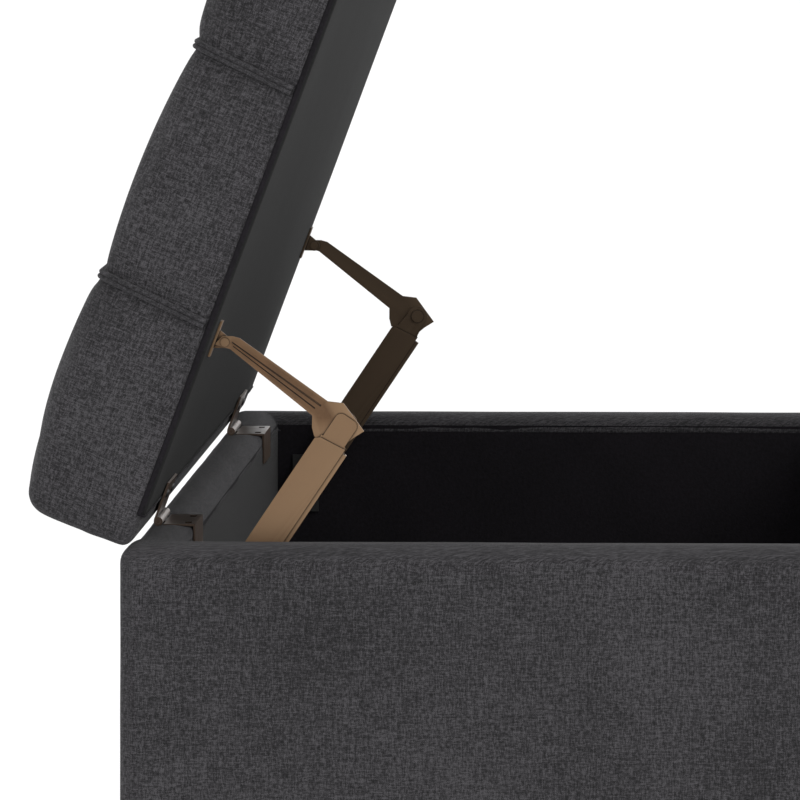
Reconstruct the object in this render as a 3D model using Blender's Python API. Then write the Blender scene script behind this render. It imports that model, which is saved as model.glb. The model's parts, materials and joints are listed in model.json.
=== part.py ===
"""A storage ottoman: a long upholstered bench box whose padded lid lifts on two butt hinges
and is held open by a pair of mirrored, spring-loaded folding stays.

World frame: X along the length, the front faces -Y, the hinges are at the back (+Y), +Z is up.
The origin is on the floor, under the middle of the object's box with the lid open.

Sections are drawn in the plane across the length, as (forward, up) points: forward runs from
the outer face of the back wall towards the front, and up is measured from the crest of the rim.
"""

import math

import bmesh
import bpy

GAP = 0.0003  # clearance between pieces that touch

# Box
LENGTH = 1.220
DEPTH = 0.500
RIM_Z = 0.374
FOOT_HEIGHT = 0.040
WALL = 0.038  # cover, board and lining together
COVER = 0.008  # padded cover outside a board
LINING = 0.0047
RIM_ROLL = 0.013  # radius of the rim's soft edges
BACK_ROLL = 0.022  # radius of the back wall's outer edge, behind the hinges
COVER_TURN_IN = 0.0145  # how far the cover reaches down the inner face
DUST_COVER = 0.0012
FLOOR_BOARD = 0.012
LINING_FLOOR = 0.003
BLOCK_SIDE = 0.060
BLOCK_HEIGHT = 0.024
FOOT_TOP_R = 0.024
FOOT_TIP_R = 0.017
BOLT_R = 0.004
GLIDE_R = 0.012
GLIDE_HEIGHT = 0.0025

# Lid, drawn closed: forward from the hinge axis, up from its underside
OPEN_ANGLE = math.radians(69.5)
HINGE = (0.0146, 0.0013)  # hinge axis, forward and up
UNDERSIDE_OVER_AXIS = 0.005
LID_BACK = -0.0078
LID_DEPTH = 0.493
LID_BOARD = 0.015
LID_COVER = 0.003
LID_HEM = 0.0015  # cover turned under the board
LID_HEM_WIDTH = 0.030
LID_EDGE_HEIGHT = 0.071
LID_SEAM_HEIGHTS = (0.081, 0.075)  # from the hinge side to the front
LID_CROWN = 0.006  # rise of a pillow over the straight line between its seams
LID_ROWS = 3
LID_TOP_R = 0.012
LID_FOOT_R = 0.009
CROWN_STEPS = 8
BUMPER_R = 0.008
BUMPER_HEIGHT = 0.0045
BUMPER_IN = 0.025  # its centre from the lid's front edge
BUMPER_SIDE_IN = 0.030

# Butt hinges
LEAF_WIDTH = 0.080
LEAF = 0.0015
HINGE_X = 0.405
KNUCKLE_R = 0.003
KNUCKLE_BORE = 0.00165
PIN_R = 0.0015
LEAF_OFF_AXIS = 0.0017
LEAF_CUT_BACK = 0.0036
WALL_LEAF_DROP = 0.023
LID_LEAF_REACH = 0.027
SLOT_LONG = 0.012
SLOT_WIDE = 0.0047
SLOT_OFF_BEND = 0.0016
SLOT_SPREAD = 0.026

# Folding stays, at rest with the lid open: pivots as (forward, up)
STAY_BASE = (0.0600, -0.0540)
STAY_HEAD = (0.1473, 0.0765)
STAY_LID = (0.0673, 0.1309)
SHEET = 0.0012
# Distances from the inner face of an end wall, towards the middle of the box
HOUSING_OFF = 0.0040
HOUSING_THICK = 0.0120
ARM_OFF = 0.0070
ARM_THICK = 0.0022
LUG_OFF = 0.0095
LUG_THICK = 0.0018
BASE_PIN_R = 0.0035
HEAD_RIVET_R = 0.0030
LID_RIVET_R = 0.0016
RUNNING = 0.00012

ROUND = 24  # sides of a round piece

INNER_X = LENGTH / 2 - WALL
BODY_Z = FOOT_HEIGHT + DUST_COVER + GAP
FLOOR_Z = BODY_Z + BLOCK_HEIGHT + GAP
TRAY_Z = FLOOR_Z + FLOOR_BOARD + GAP
BOARD_IN = WALL - LINING - GAP  # depth of a board's inner face
BOARD_TOP = RIM_Z - COVER - GAP
FOOT_IN = WALL - LINING + BLOCK_SIDE / 2  # foot centre from either outer face


def clear_scene():
    for obj in list(bpy.data.objects):
        bpy.data.objects.remove(obj)


def material(name, colour, roughness, metallic=0.0):
    made = bpy.data.materials.new(name)
    made.use_nodes = True
    shader = made.node_tree.nodes["Principled BSDF"]
    shader.inputs["Base Color"].default_value = (*colour, 1)
    shader.inputs["Roughness"].default_value = roughness
    shader.inputs["Metallic"].default_value = metallic
    made.diffuse_color = (*colour, 1)
    return made


def add(name, mesh_data, finish, parent=None):
    """Makes a node of a bmesh, with its normals out and its rounds smooth."""
    bmesh.ops.recalc_face_normals(mesh_data, faces=mesh_data.faces)
    mesh = bpy.data.meshes.new(name)
    mesh_data.to_mesh(mesh)
    mesh_data.free()
    mesh.shade_smooth()
    mesh.set_sharp_from_angle(angle=math.radians(32))
    obj = bpy.data.objects.new(name, mesh)
    bpy.context.scene.collection.objects.link(obj)
    obj.parent = parent
    if finish:
        mesh.materials.append(finish)
    return obj


def pivot(name, forward, up, turn=0.0, parent=None):
    """An empty on a joint's axis, at a (forward, up) place of its parent."""
    empty = bpy.data.objects.new(name, None)
    bpy.context.scene.collection.objects.link(empty)
    empty.parent = parent
    empty.location = (0, -forward, up)
    empty.rotation_euler.x = turn
    return empty


def arc(centre, radius, start, end, steps):
    """Points of an arc in (forward, up), with its angles in degrees from forward."""
    angles = (math.radians(start + (end - start) * i / steps) for i in range(steps + 1))
    return [(centre[0] + radius * math.cos(a), centre[1] + radius * math.sin(a)) for a in angles]


def circle(centre, radius, sides=ROUND):
    return arc(centre, radius, 0, 360, sides)[:-1]


def prism(name, outline, ends, finish=None, parent=None):
    """Runs a (forward, up) outline along X from ends[0] to ends[1]."""
    made = bmesh.new()
    face = made.faces.new([made.verts.new((ends[0], -f, u)) for f, u in outline])
    moved = bmesh.ops.extrude_face_region(made, geom=[face])["geom"]
    verts = [item for item in moved if isinstance(item, bmesh.types.BMVert)]
    bmesh.ops.translate(made, verts=verts, vec=(ends[1] - ends[0], 0, 0))
    return add(name, made, finish, parent)


def block(name, low, high, finish=None, parent=None):
    made = bmesh.new()
    bmesh.ops.create_cube(made, size=1.0)
    for vert in made.verts:
        vert.co = [b if c > 0 else a for a, b, c in zip(low, high, vert.co)]
    return add(name, made, finish, parent)


def turned(name, profile, centre, finish=None, sides=ROUND):
    """Turns (radius, z) points about a vertical axis. The profile starts and ends on the axis."""
    made = bmesh.new()
    verts = [made.verts.new((r, 0, z)) for r, z in profile]
    edges = [made.edges.new(pair) for pair in zip(verts, verts[1:])]
    bmesh.ops.spin(made, geom=verts + edges, cent=(0, 0, 0), axis=(0, 0, 1),
                   angle=math.tau, steps=sides, use_duplicate=False, use_merge=True)
    bmesh.ops.remove_doubles(made, verts=made.verts, dist=0.00001)
    obj = add(name, made, finish)
    obj.location = centre
    return obj


def combine(obj, tool, operation="DIFFERENCE"):
    """Cuts or joins with a Boolean, and hides its tool."""
    tool.hide_render = True
    tool.display_type = "WIRE"
    boolean = obj.modifiers.new(tool.name, "BOOLEAN")
    boolean.object = tool
    boolean.operation = operation
    boolean.solver = "EXACT"
    return obj


def wall_outline(outer_roll):
    """Section of a wall's padded cover: outer face, rolled rim and a short turn-in."""
    bottom = BODY_Z - RIM_Z
    inner = WALL - LINING
    return [
        (0, bottom),
        *arc((outer_roll, -outer_roll), outer_roll, 180, 90, 5),
        *arc((WALL - RIM_ROLL, -RIM_ROLL), RIM_ROLL, 90, 0, 5),
        (WALL, -COVER_TURN_IN),
        (inner, -COVER_TURN_IN),
        (inner, -COVER),
        (COVER, -COVER),
        (COVER, bottom),
    ]


def wall_cover(name, reach, half, turn, outer_roll, finish, parent):
    """A cover whose ends are mitred at 45 degrees; reach is its outer face from the box's middle."""
    made = bmesh.new()
    rings = []
    for side in (-1, 1):
        points = []
        for inward, up in wall_outline(outer_roll):
            points.append(made.verts.new((side * (half - inward - GAP), reach - inward, RIM_Z + up)))
        rings.append(points)
    made.faces.new(rings[0])
    made.faces.new(rings[1])
    count = len(rings[0])
    for i in range(count):
        j = (i + 1) % count
        made.faces.new((rings[0][i], rings[0][j], rings[1][j], rings[1][i]))
    obj = add(name, made, finish, parent)
    obj.rotation_euler.z = turn
    return obj


def make_covers(box, finish):
    half_x, half_y = LENGTH / 2, DEPTH / 2
    covers = {
        "back_cover": (half_y, half_x, 0, BACK_ROLL),
        "front_cover": (half_y, half_x, math.pi, RIM_ROLL),
        "left_end_cover": (half_x, half_y, math.pi / 2, RIM_ROLL),
        "right_end_cover": (half_x, half_y, -math.pi / 2, RIM_ROLL),
    }
    made = {name: wall_cover(name, *place, finish, box) for name, place in covers.items()}
    # The padding gives way under each hinge.
    for side in (-1, 1):
        x = side * HINGE_X
        low = (x - LEAF_WIDTH / 2 - GAP, DEPTH / 2 - WALL - GAP, RIM_Z - 0.0022)
        high = (x + LEAF_WIDTH / 2 + GAP, DEPTH / 2 - HINGE[0] + KNUCKLE_R + 0.0008, RIM_Z + 0.002)
        combine(made["back_cover"], block(f"hinge_seat_cut_{side}", low, high, parent=box))


def make_boards(box, wood):
    """Front and back boards run the full length, and the end boards stand between them."""
    x_out, y_out = LENGTH / 2 - COVER - GAP, DEPTH / 2 - COVER - GAP
    x_in, y_in = LENGTH / 2 - BOARD_IN, DEPTH / 2 - BOARD_IN
    block("back_board", (-x_out, y_in, BODY_Z), (x_out, y_out, BOARD_TOP), wood, box)
    block("front_board", (-x_out, -y_out, BODY_Z), (x_out, -y_in, BOARD_TOP), wood, box)
    y_end = y_in - GAP
    block("left_end_board", (-x_out, -y_end, BODY_Z), (-x_in, y_end, BOARD_TOP), wood, box)
    block("right_end_board", (x_in, -y_end, BODY_Z), (x_out, y_end, BOARD_TOP), wood, box)
    x_floor, y_floor = x_in - GAP, y_in - GAP
    block("floor_board", (-x_floor, -y_floor, FLOOR_Z), (x_floor, y_floor, FLOOR_Z + FLOOR_BOARD), wood, box)


def make_lining(box, felt):
    """An open tray: a floor and four walls against the boards."""
    x, y = LENGTH / 2 - WALL + LINING, DEPTH / 2 - WALL + LINING
    top = RIM_Z - COVER_TURN_IN - GAP
    made = bmesh.new()
    bmesh.ops.create_cube(made, size=1.0)
    for vert in made.verts:
        vert.co = (math.copysign(x, vert.co.x), math.copysign(y, vert.co.y), top if vert.co.z > 0 else TRAY_Z)
    made.normal_update()
    lid = [face for face in made.faces if face.normal.z > 0.5]
    bmesh.ops.inset_region(made, faces=lid, thickness=LINING)
    moved = bmesh.ops.extrude_face_region(made, geom=lid)["geom"]
    bmesh.ops.delete(made, geom=lid, context="FACES_ONLY")
    verts = [item for item in moved if isinstance(item, bmesh.types.BMVert)]
    bmesh.ops.translate(made, verts=verts, vec=(0, 0, TRAY_Z + LINING_FLOOR - top))
    add("storage_lining", made, felt, box)


def corners():
    """Name and centre of each foot."""
    for side, end in ((-1, "left"), (1, "right")):
        for way, face in ((-1, "front"), (1, "back")):
            yield f"{face}_{end}", side * (LENGTH / 2 - FOOT_IN), way * (DEPTH / 2 - FOOT_IN)


def make_base(box, felt, wood, dark_wood, steel, plastic):
    edge = 0.004
    sheet = block(
        "base_dust_cover",
        (edge - LENGTH / 2, edge - DEPTH / 2, FOOT_HEIGHT),
        (LENGTH / 2 - edge, DEPTH / 2 - edge, FOOT_HEIGHT + DUST_COVER), felt, box)
    bolt_top = BODY_Z + BLOCK_HEIGHT
    bolt_foot = 0.018
    foot_foot, foot_top = GLIDE_HEIGHT + GAP, FOOT_HEIGHT - GAP
    for name, x, y in corners():
        half = BLOCK_SIDE / 2 - GAP
        low, high = (x - half, y - half, BODY_Z), (x + half, y + half, bolt_top)
        post = block(f"{name}_corner_block", low, high, wood, box)
        foot = turned(
            f"{name}_foot",
            [(0, foot_foot), (FOOT_TIP_R - 0.002, foot_foot), (FOOT_TIP_R, foot_foot + 0.002),
             (FOOT_TOP_R, foot_top - 0.003), (FOOT_TOP_R - 0.001, foot_top), (0, foot_top)],
            (x, y, 0), dark_wood)
        bolt = turned(
            f"{name}_foot_bolt",
            [(0, bolt_foot), (BOLT_R, bolt_foot), (BOLT_R, bolt_top - GAP), (0, bolt_top - GAP)],
            (x, y, 0), steel)
        glide = turned(
            f"{name}_glide",
            [(0, 0), (GLIDE_R - 0.0015, 0), (GLIDE_R, 0.0012), (GLIDE_R, GLIDE_HEIGHT), (0, GLIDE_HEIGHT)],
            (x, y, 0), plastic)
        hole = turned(
            f"{name}_bolt_hole_cut",
            [(0, bolt_foot - GAP), (BOLT_R + GAP, bolt_foot - GAP), (BOLT_R + GAP, 0.1), (0, 0.1)],
            (x, y, 0))
        for piece in (foot, bolt, glide, hole):
            piece.parent = box
        for piece in (post, foot, sheet):
            combine(piece, hole)


def lid_seams():
    """Places of the seams that run along the lid, its two edges included."""
    return [LID_BACK + LID_DEPTH * i / LID_ROWS for i in range(LID_ROWS + 1)]


def lid_top():
    """The pillowed top, from the front edge's rounding to the back edge's."""
    seams = lid_seams()
    heights = [LID_EDGE_HEIGHT, *LID_SEAM_HEIGHTS, LID_EDGE_HEIGHT]
    points = []
    for row in reversed(range(LID_ROWS)):
        for i in range(CROWN_STEPS):
            part = 1 - i / CROWN_STEPS
            forward = seams[row] + part * (seams[row + 1] - seams[row])
            level = heights[row] + part * (heights[row + 1] - heights[row])
            points.append((forward, level + LID_CROWN * math.sin(math.pi * part)))
    return [p for p in points if LID_BACK + LID_TOP_R < p[0] < LID_BACK + LID_DEPTH - LID_TOP_R]


def lid_outline():
    back, front = LID_BACK, LID_BACK + LID_DEPTH
    shoulder = LID_EDGE_HEIGHT - LID_TOP_R
    return [
        *arc((front - LID_FOOT_R, LID_FOOT_R), LID_FOOT_R, -90, 0, 4),
        *arc((front - LID_TOP_R, shoulder), LID_TOP_R, 0, 75, 4),
        *lid_top(),
        *arc((back + LID_TOP_R, shoulder), LID_TOP_R, 105, 180, 4),
        *arc((back + LID_FOOT_R, LID_FOOT_R), LID_FOOT_R, 180, 270, 4),
    ]


def overhang():
    """How far the open lid reaches behind the back wall."""
    over = UNDERSIDE_OVER_AXIS
    behind = [(u + over) * math.sin(OPEN_ANGLE) - f * math.cos(OPEN_ANGLE) for f, u in lid_outline()]
    return max(behind) - HINGE[0]


def make_lid(lid, fabric, foam, wood, felt, rubber):
    """Every piece is drawn with the lid closed, in the frame of the hinge axis."""
    base = UNDERSIDE_OVER_AXIS
    front = LID_BACK + LID_DEPTH
    half = LENGTH / 2
    outline = [(f, u + base) for f, u in lid_outline()]
    cover = prism("lid_cover", outline, (-half, half), fabric, lid)
    inset = LID_COVER + GAP
    core_low = base + LID_HEM + GAP
    board_top = core_low + LID_BOARD
    foam_low = board_top + GAP
    foam_top = base + LID_EDGE_HEIGHT - LID_COVER - 0.001
    x, low, high = half - inset, -(front - inset), -(LID_BACK + inset)
    block("lid_board", (-x, low + 0.004, core_low), (x, high - 0.004, board_top), wood, lid)
    trim = 0.003
    foam_block = block(
        "lid_foam", (trim - x, low + trim, foam_low), (x - trim, high - trim, foam_top), foam, lid)
    edges = foam_block.modifiers.new("soft_edges", "BEVEL")
    edges.width = 0.008
    edges.segments = 2
    room = GAP / 2
    hollow = block(
        "lid_hollow_cut",
        (-x - room, low - room, core_low - GAP), (x + room, high + room, foam_top + GAP))
    mouth = block(
        "lid_mouth_cut",
        (LID_HEM_WIDTH - half, -front + LID_HEM_WIDTH, base - 0.01),
        (half - LID_HEM_WIDTH, -LID_BACK - LID_HEM_WIDTH, base + 0.01))
    for cutter in (hollow, mouth):
        cutter.parent = lid
        combine(cover, cutter)
    margin = 0.014
    sheet_low = base - 0.0012
    block(
        "lid_dust_cover",
        (margin - half, margin - front, sheet_low),
        (half - margin, -LID_BACK - margin, sheet_low + 0.0009), felt, lid)
    top, foot, edge = sheet_low - GAP, sheet_low - GAP - BUMPER_HEIGHT, 0.001
    near, far = front - BUMPER_IN - BUMPER_R, front - BUMPER_IN + BUMPER_R
    section = [(near, foot + edge), (near + edge, foot), (far - edge, foot), (far, foot + edge),
               (far, top), (near, top)]
    for side, end in ((-1, "left"), (1, "right")):
        middle = side * (half - BUMPER_SIDE_IN)
        pad = prism(f"{end}_lid_bumper", section, (middle - BUMPER_R, middle + BUMPER_R), rubber, lid)
        pad.data.shade_flat()


def hinge_leaf(name, outline, knuckles, side_of_axis, finish, parent):
    """A leaf with a rolled knuckle over each of the given stretches of X."""
    x = sum(knuckles["leaf"]) / 2
    leaf = prism(name, outline, knuckles["leaf"], finish, parent)
    low, high = sorted((side_of_axis * LEAF_OFF_AXIS, side_of_axis * (LEAF_OFF_AXIS + LEAF)))
    for i, (start, end) in enumerate(knuckles["at"]):
        tongue = [(0, low), (LEAF_CUT_BACK + 0.001, low), (LEAF_CUT_BACK + 0.001, high), (0, high)]
        combine(leaf, prism(f"{name}_tongue_{i}", tongue, (x + start, x + end), None, parent), "UNION")
        barrel = prism(f"{name}_barrel_{i}", circle((0, 0), KNUCKLE_R), (x + start, x + end), None, parent)
        combine(leaf, barrel, "UNION")
        bore = (x + start - 0.001, x + end + 0.001)
        combine(leaf, prism(f"{name}_bore_{i}", circle((0, 0), KNUCKLE_BORE), bore, None, parent))
    return leaf


def rim_slot(x):
    """Outline and ends of a screw slot through the wall leaf, over the rim."""
    front = WALL - HINGE[0] - SLOT_OFF_BEND
    outline = [(front - SLOT_WIDE, -0.010), (front, -0.010), (front, 0.0), (front - SLOT_WIDE, 0.0)]
    return outline, (x - SLOT_LONG / 2, x + SLOT_LONG / 2)


def make_hinges(fixed_axis, lid, bronze):
    """The wall leaf has the middle knuckle, and the lid leaf the outer two."""
    third = LEAF_WIDTH / 6
    half = LEAF_WIDTH / 2
    top = -LEAF_OFF_AXIS
    reach = WALL - HINGE[0] + GAP + 0.0001
    bend = [
        (LEAF_CUT_BACK, top), (reach + LEAF, top), (reach + LEAF, -WALL_LEAF_DROP - HINGE[1]),
        (reach, -WALL_LEAF_DROP - HINGE[1]), (reach, top - LEAF), (LEAF_CUT_BACK, top - LEAF),
    ]
    plate = [
        (LEAF_CUT_BACK, LEAF_OFF_AXIS), (LID_LEAF_REACH, LEAF_OFF_AXIS),
        (LID_LEAF_REACH, LEAF_OFF_AXIS + LEAF), (LEAF_CUT_BACK, LEAF_OFF_AXIS + LEAF),
    ]
    middle = [(-third + GAP, third - GAP)]
    outer = [(-half, -third - GAP), (third + GAP, half)]
    for side, end in ((-1, "left"), (1, "right")):
        x = side * HINGE_X
        span = (x - half, x + half)
        knuckles = {"leaf": span, "at": middle}
        leaf = hinge_leaf(f"{end}_hinge_wall_leaf", bend, knuckles, -1, bronze, fixed_axis)
        for i, shift in enumerate((-SLOT_SPREAD, SLOT_SPREAD)):
            slot = rim_slot(x + shift)
            combine(leaf, prism(f"{end}_rim_slot_{i}", slot[0], slot[1], None, fixed_axis))
        hinge_leaf(f"{end}_hinge_lid_leaf", plate, {"leaf": span, "at": outer}, 1, bronze, lid)
        prism(f"{end}_hinge_pin", circle((0, 0), PIN_R), span, bronze, fixed_axis)


def stay_axis():
    """Length and slope of the stay's lower link, from its base pivot to its head pivot."""
    run, rise = STAY_HEAD[0] - STAY_BASE[0], STAY_HEAD[1] - STAY_BASE[1]
    return math.hypot(run, rise), math.atan2(rise, run)


def arm_axis():
    run, rise = STAY_HEAD[0] - STAY_LID[0], STAY_HEAD[1] - STAY_LID[1]
    return math.hypot(run, rise), math.atan2(rise, run)


def layer(side, start, thick):
    """X of a flat piece that starts this far from an end wall's inner face."""
    return side * (INNER_X - start), side * (INNER_X - start - thick)


def bored(piece, side, place, radius, parent):
    name = f"{piece.name}_hole_{len(piece.modifiers)}"
    hole = circle(place, radius)
    return combine(piece, prism(name, hole, layer(side, -0.005, 0.030), None, parent))


def make_housing(side, end, link, bronze):
    """A folded channel: two faces joined along their back edge. The fold stops short at the top,
    where the arm's head swings through."""
    length, _ = stay_axis()
    back, front, foot = -0.0119, 0.0093, -0.011
    top_back, top_front = length - 0.0161, length - 0.0141
    face = [(front, foot + 0.003), (front, top_front), (back + 0.003, top_back), (back, top_back - 0.0025),
            (back, foot + 0.003), (back + 0.004, foot), (front - 0.004, foot)]
    fold = [(back, 0.0), (back + SHEET, 0.0), (back + SHEET, top_back - 0.026), (back, top_back - 0.026)]
    name = f"{end}_stay_housing"
    housing = prism(name, face, layer(side, HOUSING_OFF, SHEET), bronze, link)
    inside = HOUSING_OFF + HOUSING_THICK - SHEET
    combine(housing, prism(f"{name}_face", face, layer(side, inside, SHEET), None, link), "UNION")
    back_fold = prism(f"{name}_fold", fold, layer(side, HOUSING_OFF, HOUSING_THICK), None, link)
    combine(housing, back_fold, "UNION")
    bored(housing, side, (0, 0), BASE_PIN_R + RUNNING + GAP / 2, link)


def make_liner(side, end, link, bronze):
    """The inner channel: joined along its front edge, both its faces rising as ears by the head."""
    length, _ = stay_axis()
    back, front, foot = -0.0104, 0.0123, -0.009
    lip = 0.0015
    top_back, top_front = length - 0.0159 + lip, length - 0.0142 + lip
    step = 0.0093
    shoulder = length - 0.0172
    face = [(front, foot), (front, shoulder), (step, shoulder), (step - 0.001, top_front),
            (back + 0.001, top_back), (back, foot)]
    ear = [(0.0075, length - 0.030), (0.0075, length - 0.004), *arc((0, length), 0.0078, -20, 200, 9),
           (-0.0085, top_back), (-0.0085, length - 0.030)]
    crown_r = 0.0042
    low_ear = [(0.0079, length - 0.030), *arc((0.0079 - crown_r, length + 0.0010), crown_r, 0, 90, 5),
               *arc((crown_r - 0.0081, length + 0.0010), crown_r, 90, 180, 5), (-0.0081, length - 0.030)]
    fold = [(front - SHEET, foot), (front, foot), (front, shoulder), (front - SHEET, shoulder)]
    name = f"{end}_stay_liner"
    outer, inner = HOUSING_OFF + SHEET + GAP, HOUSING_OFF + HOUSING_THICK - 2 * SHEET - GAP
    liner = prism(name, face, layer(side, outer, SHEET), bronze, link)
    additions = (
        ("face", face, layer(side, inner, SHEET)),
        ("ear", ear, layer(side, inner, SHEET)),
        ("fold", fold, layer(side, outer, inner - outer + SHEET)),
    )
    for label, outline, ends in additions:
        combine(liner, prism(f"{name}_{label}", outline, ends, None, link), "UNION")
    bored(liner, side, (0, 0), BASE_PIN_R + RUNNING + GAP / 2, link)
    bored(liner, side, (0, length), HEAD_RIVET_R + GAP, link)
    combine(liner, prism(f"{name}_low_ear", low_ear, layer(side, outer, SHEET), None, link), "UNION")


def make_spring(side, end, link, steel):
    """A compression spring along the channel, between the base pin and the plunger."""
    radius, wire, turns, per_turn, sides = 0.00245, 0.00045, 14, 8, 5
    start, stop = 0.012, 0.122
    x = sum(layer(side, HOUSING_OFF, HOUSING_THICK)) / 2
    made = bmesh.new()
    rings = []
    for i in range(turns * per_turn + 1):
        angle = math.tau * i / per_turn
        z = start + (stop - start) * i / (turns * per_turn)
        ring = []
        for k in range(sides):
            tilt = math.tau * k / sides
            out = radius + wire * math.cos(tilt)
            spot = (x + out * math.cos(angle), out * math.sin(angle), z + wire * math.sin(tilt))
            ring.append(made.verts.new(spot))
        rings.append(ring)
    for first, second in zip(rings, rings[1:]):
        for k in range(sides):
            made.faces.new((first[k], first[(k + 1) % sides], second[(k + 1) % sides], second[k]))
    made.faces.new(rings[0])
    made.faces.new(rings[-1])
    add(f"{end}_stay_spring", made, steel, link)


def make_lower_link(side, end, link, bronze, steel):
    length, _ = stay_axis()
    make_housing(side, end, link, bronze)
    make_liner(side, end, link, bronze)
    make_spring(side, end, link, steel)
    nose = [(-0.0078, 0.123), (0.0078, 0.123), (0.0078, 0.132), (0.0066, 0.1332), (-0.0066, 0.1332),
            (-0.0078, 0.132)]
    prism(f"{end}_stay_plunger", nose, layer(side, 0.0070, 0.0060), steel, link)
    # The rivet starts just past the arm's head plate, which it would hold.
    start = ARM_OFF + ARM_THICK + 0.0004
    rivet = prism(
        f"{end}_stay_head_rivet", circle((0, length), 0.0055), layer(side, start, 0.0034), bronze, link)
    shank_ends = layer(side, start + 0.0004, 0.0052)
    shank = prism(f"{end}_rivet_shank", circle((0, length), HEAD_RIVET_R), shank_ends, None, link)
    head = prism(
        f"{end}_rivet_head", circle((0, length), 0.0046), layer(side, start + 0.0052, 0.0014), None, link)
    combine(rivet, shank, "UNION")
    combine(rivet, head, "UNION")


def make_arm(side, end, arm, bronze):
    """The upper link: a pressed, tapered arm with a hooked six-sided head plate, drawn with its
    length from the lid pivot to the head pivot along 'up'."""
    head = [(0.0075, 0.0752), (0.0142, 0.0797), (0.0183, 0.0843), (0.0165, 0.0890), (0.0146, 0.1053),
            (0.0093, 0.1048), (0.0046, 0.1062), (-0.0032, 0.1096), (-0.0110, 0.0879), (-0.0061, 0.0785)]
    tail = [(-0.0078, 0.0067), (-0.0062, 0.0020), (-0.0025, -0.0036), (0.0038, -0.0048), (0.0050, -0.0044),
            (0.0030, 0.0020), (0.0018, 0.0055)]
    name = f"{end}_stay_arm"
    made = prism(name, head + tail, layer(side, ARM_OFF, ARM_THICK), bronze, arm)
    # Two pressed grooves on the side that faces the wall, spreading towards the head.
    grooves = (
        [(-0.0031, 0.0040), (-0.0023, 0.0040), (-0.0004, 0.0765), (-0.0018, 0.0765)],
        [(-0.0012, 0.0060), (-0.0006, 0.0060), (0.0030, 0.0742), (0.0021, 0.0742)],
    )
    for i, groove in enumerate(grooves):
        combine(made, prism(f"{name}_groove_{i}", groove, layer(side, ARM_OFF - 0.001, 0.0018), None, arm))
    bored(made, side, (0, 0), LID_RIVET_R + RUNNING, arm)


def make_base_pivot(side, end, base, bronze):
    plate = [(-0.010, -0.022), (0.010, -0.022), (0.010, 0.022), (-0.010, 0.022)]
    mount = prism(f"{end}_stay_base_plate", plate, layer(side, 0.0004, 0.0018), bronze, base)
    bored(mount, side, (0, 0), BASE_PIN_R + GAP, base)
    pin = prism(f"{end}_stay_base_pin", circle((0, 0), BASE_PIN_R), layer(side, 0.0006, 0.0160), bronze, base)
    head = prism(f"{end}_pin_head", circle((0, 0), 0.0065), layer(side, 0.0163, 0.0015), None, base)
    combine(pin, head, "UNION")


def make_lid_bracket(side, end, lid, bronze):
    """A small plate under the lid with a lug for the arm's rivet, in the lid's closed frame."""
    run, rise = STAY_LID[0] - HINGE[0], STAY_LID[1] - HINGE[1]
    turn = math.atan2(rise, run) - OPEN_ANGLE
    reach = math.hypot(run, rise)
    along, up = reach * math.cos(turn), reach * math.sin(turn)
    top = UNDERSIDE_OVER_AXIS - 0.0012 - GAP
    foot = top - 0.0016
    plate = [(along - 0.0125, foot), (along + 0.0125, foot), (along + 0.0125, top), (along - 0.0125, top)]
    name = f"{end}_stay_lid_bracket"
    bracket = prism(name, plate, layer(side, 0.0030, 0.0160), bronze, lid)
    lug = [(along + 0.0065, foot + 0.0005), *arc((along, up), 0.0042, 0, -180, 8),
           (along - 0.0065, foot + 0.0005)]
    combine(bracket, prism(f"{name}_lug", lug, layer(side, LUG_OFF, LUG_THICK), None, lid), "UNION")
    bored(bracket, side, (along, up), LID_RIVET_R + GAP, lid)
    shank = circle((along, up), LID_RIVET_R, 16)
    rivet = prism(f"{end}_stay_lid_rivet", shank, layer(side, 0.0060, 0.0062), bronze, lid)
    for i, start in enumerate((0.0057, 0.0116)):
        flange = circle((along, up), 0.0029, 16)
        cap = prism(f"{end}_lid_rivet_cap_{i}", flange, layer(side, start, 0.0010), None, lid)
        combine(rivet, cap, "UNION")


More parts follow.
